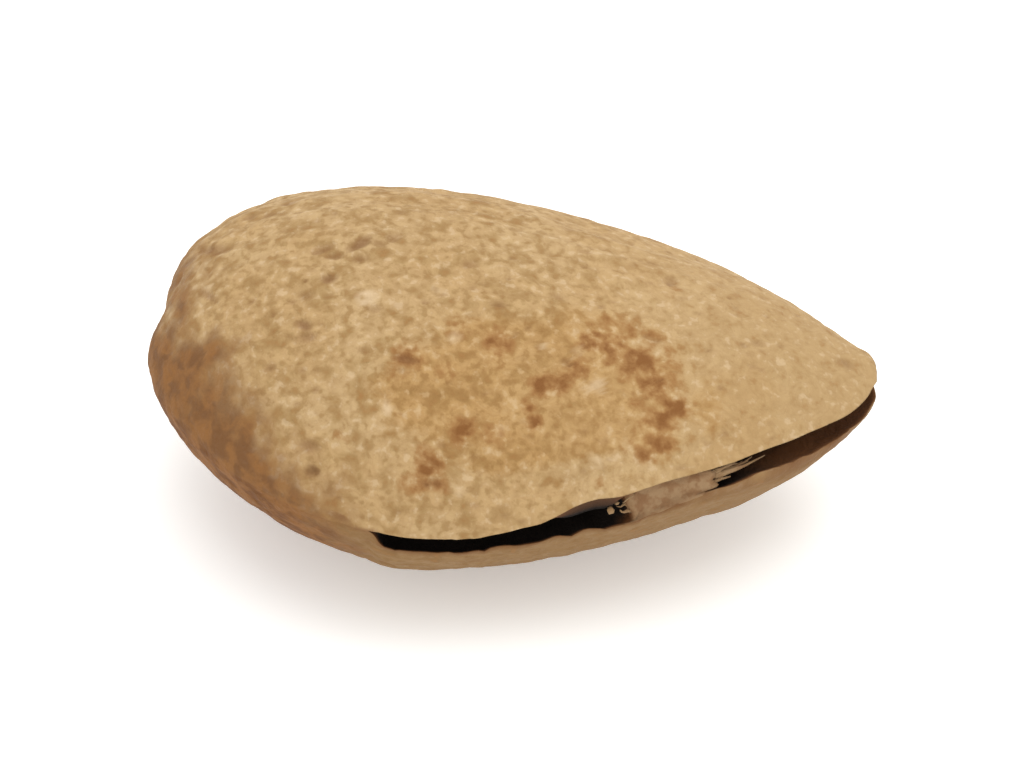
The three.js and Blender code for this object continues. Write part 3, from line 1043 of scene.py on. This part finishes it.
def shell_material(looks):
    """The shell's tans, mottling, stain, browned end and broken lips, with painted shade in its
    pits, split, lower half and stem end's lower edge.
    """
    material, shader = new_material("almond_shell")
    graph = Graph(material.node_tree)
    share, times, mark = graph.share, graph.times, graph.attribute
    coordinate = graph.add("ShaderNodeTexCoord", {}, "Object")
    patches, mottling, grains, streaks, height = graph.mottled(coordinate)
    station = graph.add("ShaderNodeSeparateXYZ", {0: coordinate}, "X")
    lively = graph.plus(share(station, 0.012, -0.002, 0.75), 0.35)
    uneven = graph.plus(graph.minus(grains, 0.5), graph.minus(mottling, 0.5))
    stain = share(graph.plus(mark("stain"), uneven), 0.2, 1.0, 0.85)
    spots = graph.plus(mark("spots"), uneven)
    browned = graph.layered(shade(looks.stem_brown), (
        (share(mottling, 0.4, 0.62), looks.stem_orange),
        (share(grains, 0.5, 0.7, 0.5), looks.dark_grain_and_pit_shade),
    ))
    torn = graph.layered(shade(looks.fibre), (
        (share(grains, 0.42, 0.62, 0.6), looks.dark_grain_and_pit_shade),
        (mark("streak", 0.5), looks.lip),
    ))
    tans = graph.layered(shade(looks.tan), (
        (share(patches, 0.4, 0.6), looks.warm_tan),
        (times(share(mottling, 0.38, 0.74), lively), looks.dull_tan),
        (times(share(grains, 0.5, 0.66, 0.7), lively), looks.dull_tan),
        (times(streaks, 0.12), looks.spot),
        (share(station, 0.004, 0.016, 0.35), looks.dull_tan),
        (share(grains, 0.44, 0.3, 0.35), looks.speck),
        # The lower half's duller colour, with painted shade of the side that faces down
        (mark("lower", 0.75), looks.lower_half_and_shade),
    ))
    base = graph.layered(graph.blend(stain, tans, shade(looks.stain), "MULTIPLY"), (
        (share(spots, 0.1, 0.65, 0.85), looks.ring),
        (share(spots, 0.45, 0.95, 0.85), looks.spot),
        # Browned stem end, with painted shade along its lower front edge
        (mark("brown", 0.88), browned),
        (mark("pale", 0.7), looks.speck),
        # Painted shade in the pores, dents and pinholes, and the closed seam's dark line
        (mark("hollow", 0.75), looks.dark_grain_and_pit_shade),
        (mark("pinhole", 0.5), looks.dark_grain_and_pit_shade),
        # Painted shade along the lower lip's outer edge
        (mark("split_edge_shade", 0.9), looks.lip),
        (mark("joined"), torn),
        # The broken lips' brown, then painted shade deeper in the split
        (share(mark("cut"), 0, 0.5), looks.lip),
        (share(mark("cut"), 0.4, 1), looks.inside),
    ))
    graph.finish(shader, base, height, depth=0.00016)
    set_inputs(shader, {"Roughness": 0.85, "Specular IOR Level": 0.3})
    return material


def streaked_material(name, colours, stretch, roughness, depth):
    """A material of three tones that run in streaks along the nut, with a fine relief."""
    material, shader = new_material(name)
    graph = Graph(material.node_tree)
    coordinate = graph.add("ShaderNodeTexCoord", {}, "Object")
    inputs = {0: coordinate, 1: (stretch, 1, 1)}
    along = graph.add("ShaderNodeVectorMath", inputs, operation="MULTIPLY")
    patches, mottling, grains, streaks, height = graph.mottled(along)
    middle, dark, pale = colours
    base = graph.layered(shade(middle), (
        (graph.share(mottling, 0.42, 0.66, 0.8), dark),
        (graph.times(streaks, 0.4), dark),
        (graph.share(grains, 0.52, 0.72, 0.5), pale),
        (graph.share(patches, 0.45, 0.65, 0.25), pale),
    ))
    graph.finish(shader, base, height, depth)
    set_inputs(shader, {"Roughness": roughness})
    return material


def floor_material(colour):
    """Matt pale paper that glows a little, so that the shadow stays faint."""
    material, shader = new_material("floor_paper")
    set_inputs(shader, {
        "Base Color": shade(colour), "Roughness": 0.9,
        "Emission Color": (1, 1, 1, 1), "Emission Strength": FLOOR_GLOW,
    })
    return material


# Sizes and colours

def metres(name, description, default):
    return FloatProperty(
        name=name, description=description, default=default, min=0, subtype="DISTANCE",
        unit="LENGTH", precision=5,
    )


def colour(name, description, default):
    return FloatVectorProperty(
        name=name, description=description, default=default, size=3, min=0, max=1, subtype="COLOR",
    )


class AlmondShellSettings(bpy.types.PropertyGroup):
    length: metres("Length", "Stem end to tip", 0.035)
    widest_share: FloatProperty(
        name="Widest share", description="Where the nut is widest, as a share of its length",
        default=0.37,
    )
    seam_half_width: metres("Seam half width", "From the middle to the split seam", 0.0117)
    back_half_width: metres("Back half width", "From the middle to the back seam", 0.01)
    cheek_half_thickness: metres("Cheek half thickness", "From the middle to a cheek", 0.0074)
    stem_sway: metres("Stem sway", "How far the stem end bends to the back", 0.0007)
    seam_climb: metres("Seam climb", "How far the seam rises on its way to the tip", 0.0016)
    seam_wall: metres("Seam wall", "Thickness of the shell at the split seam", 0.0032)
    back_wall: metres("Back wall", "Thickness of the shell at the back seam", 0.0026)
    cheek_wall: metres("Cheek wall", "Thickness of the shell at a cheek", 0.0021)
    stem_wall: metres("Stem wall", "Thickness of the shell at the stem end", 0.003)
    tip_wall: metres("Tip wall", "Thickness of the shell at the tip", 0.004)
    cells: IntProperty(name="Cells", description="Cells along each side of the grid", default=112)
    tan: colour("Tan", "Colour of most of the shell", (0.735, 0.615, 0.44))
    warm_tan: colour("Warm tan", "Colour of its warmer patches", (0.72, 0.592, 0.41))
    dull_tan: colour("Dull tan", "Colour of its mottling", (0.62, 0.495, 0.315))
    speck: colour("Speck", "Colour of the palest grains", (0.83, 0.73, 0.59))
    stain: colour("Stain", "Tint of the large stain, laid over the tans", (0.96, 0.915, 0.83))
    ring: colour("Ring", "Colour of the stain's ring", (0.6, 0.43, 0.245))
    spot: colour("Spot", "Colour of the stain's spots", (0.48, 0.3, 0.13))
    stem_brown: colour("Stem brown", "Colour of the browned stem end", (0.4, 0.235, 0.09))
    stem_orange: colour("Stem orange", "Colour of its warmer patches", (0.52, 0.34, 0.165))
    # Partly the lower half's own colour, partly painted shade of the side that faces down
    lower_half_and_shade: colour("Lower half", "Colour of the strip below the split", (0.46, 0.335, 0.19))
    # Painted shade in the pores, dents and pinholes; also the dark grains of the browned end and
    # the torn fibres
    dark_grain_and_pit_shade: colour("Pit", "Colour in the pits and dents", (0.47, 0.32, 0.19))
    fibre: colour("Fibre", "Colour of the torn fibres", (0.58, 0.465, 0.335))
    # Also the colour of the painted shade along the lower lip's outer edge
    lip: colour("Lip", "Colour of the broken lips", (0.42, 0.26, 0.13))
    # Painted shade: the near black laid on the split's deeper walls
    inside: colour("Inside", "Colour inside the split", (0.1, 0.065, 0.035))


class AlmondKernelSettings(bpy.types.PropertyGroup):
    length: metres("Length", "Length of the kernel", 0.0245)
    width: metres("Width", "Width of the kernel", 0.0134)
    thickness: metres("Thickness", "Thickness of the kernel", 0.0086)
    gap: metres("Gap", "Height of the kernel over the hollow's floor", 0.0005)
    cells: IntProperty(name="Cells", description="Cells along each side of the grid", default=56)
    skin: colour("Skin", "Colour of the kernel's skin", (0.54, 0.33, 0.19))
    skin_groove: colour("Skin groove", "Colour in the skin's wrinkles", (0.38, 0.2, 0.1))
    skin_dust: colour("Skin dust", "Colour of the dusty ridges of the skin", (0.66, 0.47, 0.31))


class AlmondStageSettings(bpy.types.PropertyGroup):
    floor_size: metres("Floor size", "Side of the square floor", 4.0)
    floor_colour: colour("Floor colour", "Colour of the floor", (0.97, 0.97, 0.96))
    distance: metres("Camera distance", "From the camera to the middle of the nut", 0.9)
    azimuth: FloatProperty(
        name="Azimuth", description="Camera's turn round the nut", default=VIEW_AZIMUTH,
        subtype="ANGLE",
    )
    elevation: FloatProperty(
        name="Elevation", description="Camera's height over the horizon", default=VIEW_ELEVATION,
        subtype="ANGLE",
    )
    lens: FloatProperty(name="Lens", description="Focal length in millimetres", default=670)


class ALMOND_OT_shell(bpy.types.Operator):
    """Builds the hard shell with its split seam"""
    bl_idname = "almond.shell"
    bl_label = "Build shell"

    def execute(self, context):
        sizes = context.scene.almond_shell
        obj = finished_object("almond_shell", shell_mesh(sizes), shell_material(sizes))
        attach(obj, "root")
        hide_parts("shell")
        return {"FINISHED"}


class ALMOND_OT_kernel(bpy.types.Operator):
    """Builds the loose kernel in the hollow"""
    bl_idname = "almond.kernel"
    bl_label = "Build kernel"

    def execute(self, context):
        settings = context.scene.almond_kernel
        mesh = kernel_mesh(context.scene.almond_shell, settings)
        tones = (settings.skin, settings.skin_groove, settings.skin_dust)
        skin = streaked_material(
            "kernel_skin", tones, stretch=0.18, roughness=0.6, depth=0.0001,
        )
        obj = finished_object("almond_kernel", mesh, skin)
        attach(obj, "root")
        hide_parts("kernel")
        return {"FINISHED"}


class ALMOND_OT_fibres(bpy.types.Operator):
    """Builds the fibres and crumbs in the split"""
    bl_idname = "almond.fibres"
    bl_label = "Build fibres"

    def execute(self, context):
        sizes = context.scene.almond_shell
        tones = (sizes.fibre, sizes.dark_grain_and_pit_shade, sizes.dull_tan)
        torn = streaked_material(
            "seam_fibre", tones, stretch=0.3, roughness=0.9, depth=0.00005,
        )
        obj = finished_object("seam_fibres", fibre_mesh(sizes), torn)
        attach(obj, "root")
        return {"FINISHED"}


def add_key_light(target):
    data = bpy.data.lights.new("key_light", "AREA")
    data.size = KEY_SIZE
    data.energy = KEY_POWER
    lamp = new_object("key_light", data)
    lamp.location = KEY_PLACE
    lamp.rotation_euler = (target - lamp.location).to_track_quat("-Z", "Y").to_euler()


def add_camera(stage, target):
    camera = bpy.data.cameras.new("camera")
    camera.lens = stage.lens
    camera.clip_start, camera.clip_end = 0.01, 20
    view = new_object("camera", camera)
    level = np.cos(stage.elevation)
    across, away = np.sin(stage.azimuth) * level, -np.cos(stage.azimuth) * level
    back = Vector((across, away, np.sin(stage.elevation)))
    view.location = target + back * stage.distance
    view.rotation_euler = back.to_track_quat("Z", "Y").to_euler()
    bpy.context.scene.camera = view


class ALMOND_OT_stage(bpy.types.Operator):
    """Adds the floor, the lights and the camera"""
    bl_idname = "almond.stage"
    bl_label = "Set stage"

    def execute(self, context):
        scene = context.scene
        stage = scene.almond_stage
        scene.view_settings.view_transform = "Standard"
        bm = bmesh.new()
        bmesh.ops.create_grid(bm, x_segments=1, y_segments=1, size=stage.floor_size / 2)
        mesh = finished_mesh(bm, "floor")
        finished_object("floor", mesh, floor_material(stage.floor_colour))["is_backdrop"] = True
        world = bpy.data.worlds.new("studio")
        world.use_nodes = True
        sky = world.node_tree.nodes["Background"]
        set_inputs(sky, {"Color": (1, 1, 1, 1), "Strength": SKY_STRENGTH})
        scene.world = world
        low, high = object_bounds()
        middle = (Vector(low) + Vector(high)) / 2
        add_key_light(middle)
        add_camera(stage, middle)
        return {"FINISHED"}


class ALMOND_PT_panel(bpy.types.Panel):
    """Lists the steps that build the almond"""
    bl_idname = "ALMOND_PT_panel"
    bl_label = "Almond"
    bl_space_type = "VIEW_3D"
    bl_region_type = "UI"
    bl_category = "Almond"

    def draw(self, context):
        for step in ("almond.shell", "almond.kernel", "almond.fibres", "almond.stage"):
            self.layout.operator(step)


CLASSES = (
    AlmondShellSettings, AlmondKernelSettings, AlmondStageSettings,
    ALMOND_OT_shell, ALMOND_OT_kernel, ALMOND_OT_fibres, ALMOND_OT_stage, ALMOND_PT_panel,
)


SETTINGS = {
    "almond_shell": AlmondShellSettings,
    "almond_kernel": AlmondKernelSettings,
    "almond_stage": AlmondStageSettings,
}


def register():
    for item in CLASSES:
        bpy.utils.register_class(item)
    for name, group in SETTINGS.items():
        setattr(bpy.types.Scene, name, PointerProperty(type=group))


def unregister():
    for name in SETTINGS:
        delattr(bpy.types.Scene, name)
    for item in reversed(CLASSES):
        bpy.utils.unregister_class(item)


def main():
    register()
    bpy.ops.almond.shell()
    bpy.ops.almond.kernel()
    bpy.ops.almond.fibres()
    bpy.ops.almond.stage()


if __name__ == "__main__":
    main()
